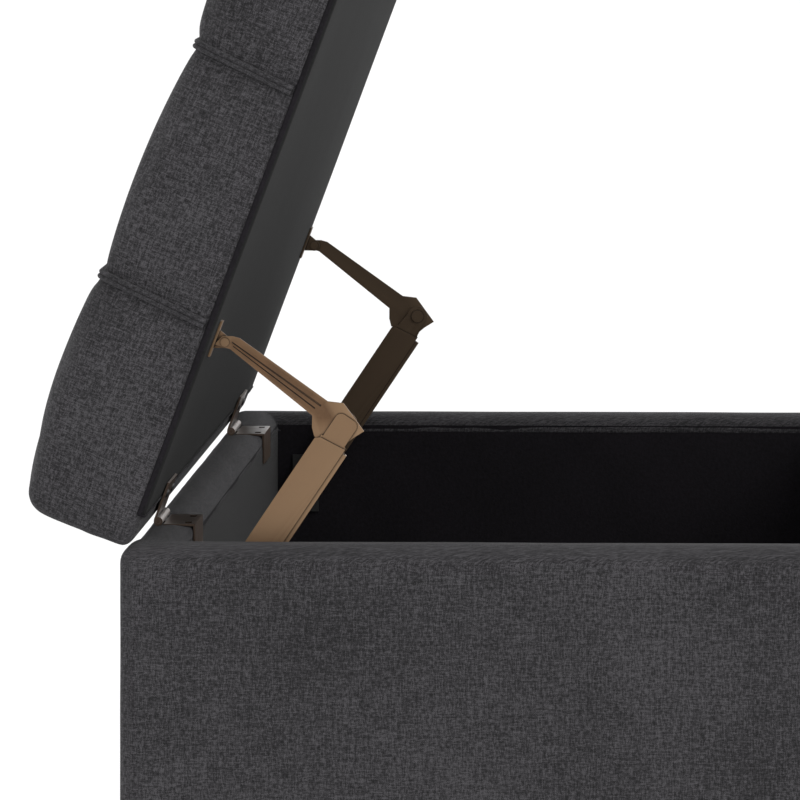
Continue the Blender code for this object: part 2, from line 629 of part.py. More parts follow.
def main():
    clear_scene()
    fabric = material("charcoal_fabric", (0.047, 0.045, 0.049), 0.95)
    felt = material("black_felt", (0.008, 0.007, 0.009), 0.95)
    grey_felt = material("grey_dust_cover", (0.032, 0.032, 0.032), 0.95)
    foam = material("foam", (0.75, 0.72, 0.55), 0.9)
    wood = material("plywood", (0.50, 0.36, 0.20), 0.7)
    dark_wood = material("dark_stained_wood", (0.020, 0.014, 0.010), 0.4)
    bronze = material("bronzed_steel", (0.20, 0.13, 0.075), 0.42, 1.0)
    steel = material("steel", (0.45, 0.45, 0.45), 0.35, 1.0)
    plastic = material("black_plastic", (0.02, 0.02, 0.02), 0.5)
    rubber = material("rubber", (0.03, 0.03, 0.03), 0.8)

    back_y = (DEPTH - overhang()) / 2
    box = bpy.data.objects.new("box_frame", None)
    bpy.context.scene.collection.objects.link(box)
    box.location.y = back_y - DEPTH / 2
    section = pivot("section_frame", -back_y, RIM_Z)
    make_covers(box, fabric)
    make_boards(box, wood)
    make_lining(box, felt)
    make_base(box, grey_felt, wood, dark_wood, steel, plastic)

    fixed_axis = pivot("hinge_axis", *HINGE, parent=section)
    lid = pivot("lid_axis", *HINGE, turn=-OPEN_ANGLE, parent=section)
    make_lid(lid, fabric, foam, wood, grey_felt, rubber)
    make_hinges(fixed_axis, lid, bronze)

    _, link_slope = stay_axis()
    _, arm_slope = arm_axis()
    for side, end in ((-1, "left"), (1, "right")):
        base = pivot(f"{end}_stay_base", *STAY_BASE, parent=section)
        link = pivot(f"{end}_stay_link", *STAY_BASE, turn=math.pi / 2 - link_slope, parent=section)
        arm = pivot(f"{end}_stay_upper", *STAY_LID, turn=math.pi / 2 - arm_slope, parent=section)
        make_base_pivot(side, end, base, bronze)
        make_lower_link(side, end, link, bronze, steel)
        make_arm(side, end, arm, bronze)
        make_lid_bracket(side, end, lid, bronze)


main()
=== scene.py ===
"""The looks of the storage ottoman: upholstery, lining, hardware finishes, camera and light.

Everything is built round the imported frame. Lengths are in metres. The box is drawn in
(inward, z) sections run round its walls, and the lid in its own closed frame, as
(x, forward of the hinge axis, up from its underside).
"""

import json
import math

import bmesh
import bpy
import numpy as np
from mathutils import Matrix, Vector, noise


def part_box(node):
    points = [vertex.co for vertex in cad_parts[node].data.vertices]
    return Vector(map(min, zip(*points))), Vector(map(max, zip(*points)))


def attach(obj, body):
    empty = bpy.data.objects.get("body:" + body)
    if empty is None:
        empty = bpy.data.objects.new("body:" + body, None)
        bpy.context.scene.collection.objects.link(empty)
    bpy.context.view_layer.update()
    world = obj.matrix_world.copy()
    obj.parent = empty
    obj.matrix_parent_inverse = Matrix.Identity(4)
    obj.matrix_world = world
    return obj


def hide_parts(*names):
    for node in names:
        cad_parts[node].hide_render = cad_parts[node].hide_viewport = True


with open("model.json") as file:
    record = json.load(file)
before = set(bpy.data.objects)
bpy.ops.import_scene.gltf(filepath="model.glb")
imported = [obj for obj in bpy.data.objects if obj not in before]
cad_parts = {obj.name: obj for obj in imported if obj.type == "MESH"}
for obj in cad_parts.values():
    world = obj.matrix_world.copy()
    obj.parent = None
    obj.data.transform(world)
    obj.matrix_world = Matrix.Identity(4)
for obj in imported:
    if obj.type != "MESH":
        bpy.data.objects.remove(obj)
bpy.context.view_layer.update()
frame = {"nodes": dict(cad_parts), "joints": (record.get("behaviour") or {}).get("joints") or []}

JOINTS = {joint["name"]: joint for joint in frame["joints"]}
HINGE = Vector(JOINTS["lid_hinge"]["pos_m"])
OPEN = math.radians(JOINTS["lid_hinge"]["range_deg"][1])
LID_FRAME = Matrix.Translation(HINGE) @ Matrix.Rotation(-OPEN, 4, "X")
UNDERSIDE = 0.005  # the lid's underside lies this far over the hinge axis

# Box sizes, from the frame
FRONT_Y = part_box("front_cover")[0].y
BACK_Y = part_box("back_cover")[1].y
RIM_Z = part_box("front_cover")[1].z
BODY_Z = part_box("front_cover")[0].z
HALF_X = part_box("right_end_cover")[1].x
MID_Y = (FRONT_Y + BACK_Y) / 2
HALF_Y = (BACK_Y - FRONT_Y) / 2
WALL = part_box("front_cover")[1].y - FRONT_Y
RIM_ROLL = 0.013
BACK_ROLL = 0.022  # radius of the rim's outer edge, behind the hinges
TURN_IN = 0.0145  # how far the cover is carried down inside the box
SIDES = (("left", -1), ("right", 1))


# ---------------------------------------------------------------- helpers


def to_lid(x, forward, up):
    """A point of the closed lid's frame, in the world with the lid open."""
    return LID_FRAME @ Vector((x, -forward, up + UNDERSIDE))


def lid_direction(way):
    """A direction of the closed lid's frame, in the world with the lid open."""
    return (LID_FRAME.to_3x3() @ Vector((way.x, -way.y, way.z))).normalized()


def lid_extent():
    """Lowest and highest (x, forward, up) of the CAD lid in its closed frame."""
    inverse = LID_FRAME.inverted()
    points = [inverse @ vert.co for vert in frame["nodes"]["lid_cover"].data.vertices]
    places = [(p.x, -p.y, p.z - UNDERSIDE) for p in points]
    return Vector([min(values) for values in zip(*places)]), Vector([max(values) for values in zip(*places)])


def steps(start, end, count):
    """Evenly spaced values from start to end, both included."""
    return [start + (end - start) * i / count for i in range(count + 1)]


def arc(centre, radius, start, end, count):
    """Points along an arc, between two angles in degrees."""
    angles = (math.radians(a) for a in steps(start, end, count))
    return [(centre[0] + radius * math.cos(a), centre[1] + radius * math.sin(a)) for a in angles]


def smooth(value):
    """Eases from 0 to 1, and stays there outside."""
    value = min(max(value, 0.0), 1.0)
    return value * value * (3 - 2 * value)


def hump(part, power):
    """Rises from 0 to 1 and falls again as part goes from 0 to 1."""
    return math.sin(math.pi * min(max(part, 0), 1)) ** power


def ripple(x, y, z, scale):
    """Smooth noise about 0."""
    return noise.noise(Vector((x * scale, y * scale, z * scale)))


def make_object(name, verts, faces, material, uvs=None):
    """A mesh object. uvs holds one (u, v) per vertex, in metres."""
    mesh = bpy.data.meshes.new(name)
    mesh.from_pydata([tuple(v) for v in verts], [], faces)
    if uvs:
        layer = mesh.uv_layers.new(name="cloth")
        for loop in mesh.loops:
            layer.data[loop.index].uv = uvs[loop.vertex_index]
    mesh.shade_smooth()
    mesh.materials.append(material)
    obj = bpy.data.objects.new(name, mesh)
    bpy.context.scene.collection.objects.link(obj)
    return obj


def face_outwards(obj):
    mesh = bmesh.new()
    mesh.from_mesh(obj.data)
    bmesh.ops.recalc_face_normals(mesh, faces=mesh.faces)
    mesh.to_mesh(obj.data)
    mesh.free()
    return obj


def grid(rows, columns):
    """Quads over a rows x columns lattice of vertices, in row order."""
    faces = []
    for i in range(rows - 1):
        for k in range(columns - 1):
            low, high = i * columns + k, (i + 1) * columns + k
            faces.append((low, high, high + 1, low + 1))
    return faces


def rings(count, size):
    """Quads between rings of vertices, each closed on itself."""
    faces = []
    for first in range(0, (count - 1) * size, size):
        for k in range(size):
            following = (k + 1) % size
            faces.append((first + k, first + following, first + size + following, first + size + k))
    return faces


def thicken(obj, thickness, offset=-1.0):
    solid = obj.modifiers.new("thickness", "SOLIDIFY")
    solid.thickness = thickness
    solid.offset = offset
    return obj


def soften(obj, width, segments=2):
    """A small bevel on a piece's sharp edges."""
    bevel = obj.modifiers.new("soft_edges", "BEVEL")
    bevel.width = width
    bevel.segments = segments
    bevel.limit_method = "ANGLE"
    bevel.angle_limit = math.radians(40)
    weighted = obj.modifiers.new("flat_faces", "WEIGHTED_NORMAL")
    weighted.weight = 100
    return obj


def apply_modifiers(obj):
    graph = bpy.context.evaluated_depsgraph_get()
    mesh = bpy.data.meshes.new_from_object(obj.evaluated_get(graph))
    obj.modifiers.clear()
    obj.data = mesh
    return obj


# ---------------------------------------------------------------- materials

# Near-black painted shade for the hardware's grooves, corners and gaps between parts.
CREVICE_SHADE = (0.006, 0.005, 0.004)


def add_node(tree, kind, inputs=(), **settings):
    """A node with its settings, and its inputs set or linked by name or number."""
    node = tree.nodes.new(kind)
    for key, value in settings.items():
        setattr(node, key, value)
    for key, value in dict(inputs).items():
        if isinstance(value, bpy.types.NodeSocket):
            tree.links.new(value, node.inputs[key])
        else:
            node.inputs[key].default_value = value
    return node


def new_material(name, roughness, metallic=0.0):
    made = bpy.data.materials.new(name)
    made.use_nodes = True
    shader = made.node_tree.nodes["Principled BSDF"]
    shader.inputs["Roughness"].default_value = roughness
    shader.inputs["Metallic"].default_value = metallic
    return made, made.node_tree, shader


def math_node(tree, operation, first, second=0.0):
    return add_node(tree, "ShaderNodeMath", {0: first, 1: second}, operation=operation).outputs[0]


def mixture(tree, first, first_share, second, second_share):
    """Two values added in the given shares."""
    parts = [math_node(tree, "MULTIPLY", *part) for part in ((first, first_share), (second, second_share))]
    return math_node(tree, "ADD", *parts)


def blend(tree, factor, first, second):
    """A colour mixed from two others."""
    inputs = {"Factor": factor, 6: first, 7: second}
    return add_node(tree, "ShaderNodeMix", inputs, data_type="RGBA").outputs[2]


def relieve(tree, shader, strength, distance, height):
    """Fine relief for a shader."""
    relief = add_node(tree, "ShaderNodeBump", {"Strength": strength, "Distance": distance, "Height": height})
    tree.links.new(relief.outputs[0], shader.inputs["Normal"])


def ramp(tree, factor, stops):
    """A colour ramp; stops are (place, (r, g, b))."""
    node = add_node(tree, "ShaderNodeValToRGB", {"Fac": factor})
    elements = node.color_ramp.elements
    while len(elements) < len(stops):
        elements.new(0.5)
    for element, (place, colour) in zip(elements, stops):
        element.position = place
        element.color = (*colour, 1)
    return node.outputs["Color"]


def streaks(tree, coordinates, along, across, seed):
    """Noise drawn out along u or v, like the slubs of one set of threads."""
    drawn = {"Vector": coordinates, "Scale": (along, across, 1), "Location": (seed, seed, 0)}
    place = add_node(tree, "ShaderNodeMapping", drawn).outputs[0]
    inputs = {"Vector": place, "Scale": 1.0, "Detail": 1.5, "Roughness": 0.6}
    return add_node(tree, "ShaderNodeTexNoise", inputs, noise_dimensions="2D").outputs["Fac"]


def linen(name, dark, middle, light, pitch=0.00115):
    """Woven slub linen, drawn on cloth coordinates in metres."""
    made, tree, shader = new_material(name, 0.93)
    cloth = add_node(tree, "ShaderNodeUVMap", uv_map="cloth").outputs["UV"]
    axes = add_node(tree, "ShaderNodeSeparateXYZ", {"Vector": cloth})
    waves, slubs = [], []
    for axis in (0, 1):
        turn = math_node(tree, "MULTIPLY", axes.outputs[axis], math.tau / pitch)
        waves.append(math_node(tree, "SINE", turn))
        fine = streaks(tree, cloth, *((280, 1.2 / pitch) if axis else (1.2 / pitch, 280)), 3.1 + axis)
        drawn = streaks(tree, cloth, *((45, 0.6 / pitch) if axis else (0.6 / pitch, 45)), 9.7 + axis)
        slubs.append(mixture(tree, fine, 0.68, drawn, 0.32))
    over = math_node(tree, "MULTIPLY", waves[0], waves[1])
    pick = add_node(tree, "ShaderNodeMapRange", {"Value": over, "From Min": -0.6, "From Max": 0.6})
    threads = {"Factor": pick.outputs[0], 2: slubs[0], 3: slubs[1]}
    thread = add_node(tree, "ShaderNodeMix", threads, data_type="FLOAT")
    clouding = {"Vector": cloth, "Scale": 9.0, "Detail": 2.0}
    cloud = add_node(tree, "ShaderNodeTexNoise", clouding, noise_dimensions="2D")
    shade = mixture(tree, thread.outputs[0], 0.9, cloud.outputs["Fac"], 0.1)
    colour = ramp(tree, shade, [(0.40, dark), (0.50, middle), (0.60, light)])
    tree.links.new(colour, shader.inputs["Base Color"])
    height = math_node(tree, "ADD", math_node(tree, "MULTIPLY", over, 0.35), shade)
    relieve(tree, shader, 0.5, 0.0006, height)
    shader.inputs["Sheen Weight"].default_value = 0.05
    shader.inputs["Sheen Roughness"].default_value = 0.5
    shader.inputs["Specular IOR Level"].default_value = 0.2
    return made


def felt(name, dark, light, cell=0.0022):
    """Non-woven cloth with a fine embossed cell pattern."""
    made, tree, shader = new_material(name, 0.95)
    place = add_node(tree, "ShaderNodeTexCoord").outputs["Object"]
    embossed = {"Vector": place, "Scale": 1 / cell}
    cells = add_node(tree, "ShaderNodeTexVoronoi", embossed, feature="DISTANCE_TO_EDGE")
    fuzz = add_node(tree, "ShaderNodeTexNoise", {"Vector": place, "Scale": 420.0, "Detail": 3.0})
    cloud = add_node(tree, "ShaderNodeTexNoise", {"Vector": place, "Scale": 14.0, "Detail": 2.0})
    shade = mixture(tree, fuzz.outputs["Fac"], 0.6, cloud.outputs["Fac"], 0.4)
    tree.links.new(ramp(tree, shade, [(0.35, dark), (0.65, light)]), shader.inputs["Base Color"])
    height = mixture(tree, cells.outputs["Distance"], 0.8, fuzz.outputs["Fac"], 0.4)
    relieve(tree, shader, 0.35, 0.0005, height)
    shader.inputs["Specular IOR Level"].default_value = 0.2
    return made


def bronzed(name, base, worn, roughness=0.42):
    """Bronze-lacquered steel: blotchy lacquer, bright worn edges and painted shade in the grooves and
    corners.
    """
    made, tree, shader = new_material(name, roughness, 0.75)
    place = add_node(tree, "ShaderNodeTexCoord").outputs["Object"]
    blotches = {"Vector": place, "Scale": 55.0, "Detail": 4.0, "Roughness": 0.6}
    blotch = add_node(tree, "ShaderNodeTexNoise", blotches)
    speck = add_node(tree, "ShaderNodeTexNoise", {"Vector": place, "Scale": 900.0, "Detail": 2.0})
    mixed = mixture(tree, blotch.outputs["Fac"], 0.8, speck.outputs["Fac"], 0.2)
    dark = tuple(0.72 * c for c in base)
    light = tuple(1.25 * c for c in base)
    lacquer = ramp(tree, mixed, [(0.30, dark), (0.5, base), (0.72, light)])
    edge = add_node(tree, "ShaderNodeNewGeometry").outputs["Pointiness"]
    worn_by = add_node(tree, "ShaderNodeMapRange", {"Value": edge, "From Min": 0.52, "From Max": 0.62})
    colour = blend(tree, worn_by.outputs[0], lacquer, (*worn, 1))
    # Painted shade: ambient occlusion blends the colour to near black in grooves, corners and gaps between
    # parts.
    crevice = add_node(tree, "ShaderNodeAmbientOcclusion", {"Distance": 0.0022}, samples=8)
    openness = {"Value": crevice.outputs["AO"], "From Min": 0.45, "From Max": 0.85}
    open_to_light = add_node(tree, "ShaderNodeMapRange", openness)
    crevice_shaded = blend(tree, open_to_light.outputs[0], (*CREVICE_SHADE, 1), colour)
    tree.links.new(crevice_shaded, shader.inputs["Base Color"])
    glossiness = {"Value": mixed, "To Min": roughness - 0.08, "To Max": roughness + 0.14}
    gloss = add_node(tree, "ShaderNodeMapRange", glossiness)
    tree.links.new(gloss.outputs[0], shader.inputs["Roughness"])
    relieve(tree, shader, 0.15, 0.0003, mixed)
    return made


def wood(name, dark, light, roughness, scale=(3, 60, 60)):
    """Wood grain, drawn out along one axis."""
    made, tree, shader = new_material(name, roughness)
    place = add_node(tree, "ShaderNodeTexCoord").outputs["Object"]
    drawn = add_node(tree, "ShaderNodeMapping", {"Vector": place, "Scale": scale})
    graining = {"Vector": drawn.outputs[0], "Scale": 1.0, "Detail": 5.0, "Roughness": 0.65}
    grain = add_node(tree, "ShaderNodeTexNoise", graining)
    colour = ramp(tree, grain.outputs["Fac"], [(0.35, dark), (0.65, light)])
    tree.links.new(colour, shader.inputs["Base Color"])
    relieve(tree, shader, 0.2, 0.0004, grain.outputs["Fac"])
    return made


def speckled(name, dark, light, roughness, metallic=0.0, scale=500.0, bump=0.15):
    """Moulded plastic, rubber, foam or plated steel with a fine grain."""
    made, tree, shader = new_material(name, roughness, metallic)
    place = add_node(tree, "ShaderNodeTexCoord").outputs["Object"]
    grain = add_node(tree, "ShaderNodeTexNoise", {"Vector": place, "Scale": scale, "Detail": 3.0})
    colour = ramp(tree, grain.outputs["Fac"], [(0.35, dark), (0.65, light)])
    tree.links.new(colour, shader.inputs["Base Color"])
    relieve(tree, shader, bump, 0.0003, grain.outputs["Fac"])
    return made


def paint(nodes, material):
    """Gives the named CAD pieces their only material."""
    for name in nodes:
        data = frame["nodes"][name].data
        data.materials.clear()
        data.materials.append(material)


# ---------------------------------------------------------------- camera, light, floor


CAMERA_X, CAMERA_Y, CAMERA_Z = -6.721, -0.4842, 0.5825  # from the left back corner of the rim
CAMERA_AIM = Vector((10.198, 0.453, -0.738))
CAMERA_LENS = 460.8


def make_camera():
    """Looks along the length over the left end, turned a little down and back."""
    data = bpy.data.cameras.new("camera")
    camera = bpy.data.objects.new("camera", data)
    bpy.context.scene.collection.objects.link(camera)
    camera.location = (CAMERA_X - HALF_X, CAMERA_Y + BACK_Y, CAMERA_Z + RIM_Z)
    camera.rotation_euler = CAMERA_AIM.to_track_quat("-Z", "Y").to_euler()
    data.sensor_width = 36
    data.lens = CAMERA_LENS
    data.clip_end = 200
    bpy.context.scene.camera = camera


def make_light():
    world = bpy.data.worlds.new("studio")
    world.use_nodes = True
    world.node_tree.nodes["Background"].inputs["Color"].default_value = (1, 1, 1, 1)
    world.node_tree.nodes["Background"].inputs["Strength"].default_value = 1.12
    bpy.context.scene.world = world
    for name, place, target, size, power in (
        ("key", (-2.2, -2.6, 3.4), (0, 0, 0.4), 2.6, 60),
        ("fill", (-4.5, 1.2, 2.2), (-0.4, 0, 0.5), 3.0, 20),
    ):
        data = bpy.data.lights.new(name, "AREA")
        data.size = size
        data.energy = power
        light = bpy.data.objects.new(name, data)
        light.location = place
        light.rotation_euler = (Vector(target) - Vector(place)).to_track_quat("-Z", "Y").to_euler()
        bpy.context.scene.collection.objects.link(light)


def make_floor():
    made, tree, shader = new_material("pale_floor", 0.9)
    place = add_node(tree, "ShaderNodeTexCoord").outputs["Object"]
    cloud = add_node(tree, "ShaderNodeTexNoise", {"Vector": place, "Scale": 0.6, "Detail": 2.0})
    tone = ramp(tree, cloud.outputs["Fac"], [(0.3, (0.90, 0.90, 0.90)), (0.7, (0.93, 0.93, 0.93))])
    tree.links.new(tone, shader.inputs["Base Color"])
    reach = 60
    corners = [(-reach, -reach, 0), (reach, -reach, 0), (reach, reach, 0), (-reach, reach, 0)]
    make_object("floor", corners, [(0, 1, 2, 3)], made)


# ---------------------------------------------------------------- box upholstery


def wall_section():
    """(inward, z) of the padded cover: turned under the boards, up the face, over the rim, in."""
    foot = BODY_Z + 0.0002
    face = RIM_Z - RIM_ROLL
    return [
        (0.016, foot), (0.004, foot), *arc((0.003, foot + 0.003), 0.003, 270, 180, 3),
        *[(0.0, z) for z in steps(foot + 0.010, face - 0.008, 22)],
        *arc((RIM_ROLL, face), RIM_ROLL, 180, 90, 9),
        *[(x, RIM_Z) for x in steps(RIM_ROLL + 0.004, WALL - RIM_ROLL - 0.004, 1)],
        *arc((WALL - RIM_ROLL, face), RIM_ROLL, 90, 0, 9),
        (WALL, RIM_Z - TURN_IN + 0.0006), (WALL - 0.0006, RIM_Z - TURN_IN), (WALL - 0.003, RIM_Z - TURN_IN),
    ]


def wall_loop(inward):
    """Points round the box at this depth: [(x, y, outward normal, distance along)], anticlockwise."""
    half_x, half_y = HALF_X - inward, HALF_Y - inward
    radius = max(0.008 - inward, 0.0015)
    points = []
    along = 0.0
    sides = (
        ((-1, -1), (1, -1), (0, -1), half_x, 200),
        ((1, -1), (1, 1), (1, 0), half_y, 80),
        ((1, 1), (-1, 1), (0, 1), half_x, 200),
        ((-1, 1), (-1, -1), (-1, 0), half_y, 80),
    )
    for start, end, normal, half, count in sides:
        first = Vector((start[0] * half_x, start[1] * half_y))
        last = Vector((end[0] * half_x, end[1] * half_y))
        way = (last - first).normalized()
        length = 2 * half - 2 * radius
        for i in range(count + 1):
            spot = first + way * (radius + length * i / count)
            points.append((spot.x, spot.y, Vector(normal), along + radius + length * i / count))
        centre = last - way * radius - Vector(normal) * radius
        for i in (1, 2, 3):
            turn = Matrix.Rotation(math.radians(22.5 * i), 2)
            out = turn @ Vector(normal)
            spot = centre + out * radius
            points.append((spot.x, spot.y, out, along + 2 * half - radius + radius * 0.4 * i))
        along += 2 * half + 0.004
    return points


def under_leaf(x, y):
    """1 under a hinge leaf, fading to 0 beside it."""
    if y < MID_Y:
        return 0.0
    low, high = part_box("right_hinge_wall_leaf")
    side = max(low.x - abs(x), abs(x) - high.x, 0.0)
    return smooth(1 - side / 0.012)


def pressed(y, z, inward, weight):
    """The rim's padding under a leaf: pressed flat, and squared up to fill the leaf's bend."""
    tight = 0.0035
    corner_in, corner_z = WALL - RIM_ROLL, RIM_Z - RIM_ROLL
    if inward > corner_in and z > corner_z - 0.001:
        place = Vector((inward - corner_in, z - corner_z))
        square = Vector((WALL - tight, RIM_Z - tight)) + place.normalized() * tight
        y -= weight * (square.x - inward)
        z += weight * (square.y - z)
    if z > RIM_Z - 0.010:
        back = max(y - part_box("right_hinge_wall_leaf")[1].y - 0.0015, 0.0)
        z -= 0.0024 * weight * smooth(1 - back / 0.010) * smooth((z - RIM_Z + 0.010) / 0.008)
    return y, z


def back_roll(inward, z):
    """The rim's outer edge behind the hinges, on its larger radius."""
    centre = Vector((BACK_ROLL, RIM_Z - BACK_ROLL))
    reach = Vector((inward, z)) - centre
    if reach.x >= 0 or reach.y <= 0:
        return inward, z
    return tuple(centre + reach.normalized() * BACK_ROLL)


def make_box_upholstery(cloth):
    """One padded cover round all four walls, over their rims and a little way in."""
    section = wall_section()
    verts, uvs = [], []
    travelled = 0.0
    for number, (inward, z) in enumerate(section):
        if number:
            before = section[number - 1]
            travelled += math.hypot(inward - before[0], z - before[1])
        for x, y, normal, along in wall_loop(inward):
            height = (z - BODY_Z) / (RIM_Z - BODY_Z)
            spread = min(1.0, (HALF_X - abs(x)) / 0.06 if abs(normal.y) > 0.5 else (HALF_Y - abs(y)) / 0.06)
            puff = 0.0
            if inward < 0.002:
                puff = 0.0012 * hump(height, 0.6) * smooth(spread)
            puff += 0.00045 * ripple(x, y, z, 9) + 0.0002 * ripple(x, y, z, 31)
            top = 0.0003 * ripple(x, y, 0, 14) if inward > 0.004 else 0.0
            out = normal * puff
            world_y = MID_Y + y
            spot_z = z + top
            if y > 0 and abs(x) < HALF_X - WALL:
                behind = smooth((HALF_X - WALL - abs(x)) / 0.05)
                rolled = back_roll(inward, z)
                world_y -= behind * (rolled[0] - inward)
                spot_z += behind * (rolled[1] - z)
            weight = under_leaf(x, world_y)
            if weight > 0:
                world_y, spot_z = pressed(world_y, spot_z, inward, weight)
            verts.append((x + out.x, world_y + out.y, spot_z))
            uvs.append((along, travelled))
    faces = rings(len(section), len(wall_loop(0.0)))
    cover = make_object("box_upholstery", verts, faces, cloth, uvs)
    thicken(cover, 0.0012)
    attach(cover, "box")
    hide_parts("front_cover", "back_cover", "left_end_cover", "right_end_cover")


def make_back_facing(cloth):
    """Fabric carried down the inner face of the hinge wall, over the lining."""
    top, bottom = RIM_Z - RIM_ROLL + 0.002, RIM_Z - 0.120
    y = BACK_Y - WALL - 0.00030
    half = HALF_X - WALL - 0.0015
    verts, uvs = [], []
    rows, columns = 24, 160
    for z in steps(top, bottom, rows):
        for x in steps(-half, half, columns):
            low = bottom + 0.0015 * ripple(x, 3, 0, 6)
            spot_z = top + (z - top) * (top - low) / (top - bottom)
            verts.append((x, y + 0.00008 * ripple(x, z, 1, 20), spot_z))
            uvs.append((x, z))
    facing = make_object("back_wall_facing", verts, grid(rows + 1, columns + 1), cloth, uvs)
    thicken(facing, 0.00025, offset=0)
    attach(facing, "box")


def make_lining(cloth):
    """The black lining: four walls and a floor, a little slack between its fixings."""
    half_x, half_y = HALF_X - WALL + 0.0002, HALF_Y - WALL + 0.0002
    top = RIM_Z - 0.009
    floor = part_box("floor_board")[1].z + 0.0035
    verts, faces, uvs = [], [], []

    def panel(corner, across, up, columns, rows, inward, most):
        first = len(verts)
        for j in range(rows + 1):
            for i in range(columns + 1):
                a, b = i / columns, j / rows
                spot = corner + across * a + up * b
                swell = most * hump(a, 0.4) * hump(b, 0.4)
                swell *= 0.5 + 0.9 * abs(ripple(spot.x, spot.y, spot.z, 11))
                verts.append(spot + inward * swell)
                uvs.append((across.length * a, up.length * b))
        faces.extend(tuple(first + n for n in quad) for quad in grid(rows + 1, columns + 1))

    low = Vector((-half_x, MID_Y - half_y, floor))
    long_way, deep_way = Vector((2 * half_x, 0, 0)), Vector((0, 2 * half_y, 0))
    rise = Vector((0, 0, top - floor))
    slack = 0.0012
    panel(low, long_way, rise, 80, 20, Vector((0, 1, 0)), slack)
    panel(low + deep_way, long_way, rise, 80, 20, Vector((0, -1, 0)), 0.0)
    panel(low, deep_way, rise, 30, 20, Vector((1, 0, 0)), slack)
    panel(low + long_way, deep_way, rise, 30, 20, Vector((-1, 0, 0)), slack)
    panel(low, long_way, deep_way, 80, 30, Vector((0, 0, 1)), slack)
    lining = make_object("box_lining", verts, faces, cloth, uvs)
    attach(lining, "box")
    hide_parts("storage_lining")


# ---------------------------------------------------------------- lid


LID_LOW, LID_HIGH = lid_extent()
LID_EDGE_HEIGHT = 0.071
LID_LEVELS = (0.0745, 0.081, 0.075, 0.070)  # back edge, two seams, front edge
LID_CROWNS = (0.0080, 0.0050, 0.0060)  # how far each pillow stands over its seams
LID_ROLL = 0.0115  # radius of the upper edges
LID_FOOT_ROLL = 0.009  # radius of the lower edges
LID_BACK_FOOT_ROLL = 0.011  # the same, at the hinge side
LID_END_FOOT_ROLL = 0.0045  # how far the lower edges are rounded along the length
LID_ROWS = 3
UNDER_HEM = 0.024  # width of the cover's hem, turned under the lid
ROW_PITCH = (LID_HIGH.y - LID_LOW.y) / LID_ROWS
SEAMS = tuple(LID_LOW.y + ROW_PITCH * number for number in range(1, LID_ROWS))
LID_CELLS = (150, 78, 18)  # along x, forward and up
INFLATE_FRAMES = 16
INFLATE_MOST = 0.0022  # the furthest that the cover is blown out
SEAM_SLANT = 0.007  # a seam's foot on the lid's end lies this much nearer the hinge than its top


def row_place(forward):
    """Row number and part of the way across it, 0 to 1."""
    part = (forward - LID_LOW.y) / (LID_HIGH.y - LID_LOW.y) * LID_ROWS
    row = min(max(int(part), 0), LID_ROWS - 1)
    return row, part - row


def seam_distance(forward):
    return min(abs(forward - seam) for seam in SEAMS)


def crown(forward):
    """Height of the pillowed top over the underside, away from the lid's ends."""
    row, part = row_place(forward)
    straight = LID_LEVELS[row] + part * (LID_LEVELS[row + 1] - LID_LEVELS[row])
    return straight + LID_CROWNS[row] * hump(part, 0.72)


def rounded(value, low, high, radius):
    """Inner-box coordinate for a rounded box."""
    return min(max(value, low + radius), high - radius)


def lid_point(x, forward, up):
    """Takes a point on the plain lid box to the padded shape, in the closed frame."""
    high = LID_EDGE_HEIGHT
    foot = LID_BACK_FOOT_ROLL if forward < high else LID_FOOT_ROLL
    radius = LID_ROLL if up > high / 2 else foot
    radii = Vector((LID_ROLL if up > high / 2 else LID_END_FOOT_ROLL, radius, radius))
    core = Vector((
        rounded(x, LID_LOW.x, LID_HIGH.x, radii.x),
        rounded(forward, LID_LOW.y, LID_HIGH.y, radius),
        rounded(up, 0.0, high, radius)))
    push = Vector((x, forward, up)) - core
    push = Vector([p / r for p, r in zip(push, radii)])
    spot = Vector((x, forward, up))
    if push.length > 1e-6:
        spot = core + Vector([p * r for p, r in zip(push.normalized(), radii)])
    share = max(spot.z / high, 0)
    leaned = spot.y + SEAM_SLANT * (1 - share) * smooth((abs(x) - LID_HIGH.x + 0.02) / 0.02)
    rise = crown(leaned) - high
    row, part = row_place(leaned)
    spot.z += rise * share ** 1.3
    side = smooth((abs(x) - LID_HIGH.x + radius) / radius)
    spot.x += math.copysign(0.0028 * hump(part, 0.6) * hump(share, 0.7) * side, x)
    ends = smooth(1 - (forward - LID_LOW.y) / radius) - smooth(1 - (LID_HIGH.y - forward) / radius)
    spot.y -= 0.002 * ends * hump(share, 1)
    near = seam_distance(leaned)
    dip = 0.0018 * math.exp(-(near / 0.0045) ** 2)
    spot.z -= dip * share
    spot.x -= math.copysign(dip * side * (share > 0.02), x)
    if share > 0.5:
        gather = math.exp(-near / 0.014) * (1 - math.exp(-near / 0.003))
        spot.z += 0.0016 * gather * ripple(x, row, 0, 55) + 0.0009 * ripple(x, forward, 0, 10) * share
    return spot


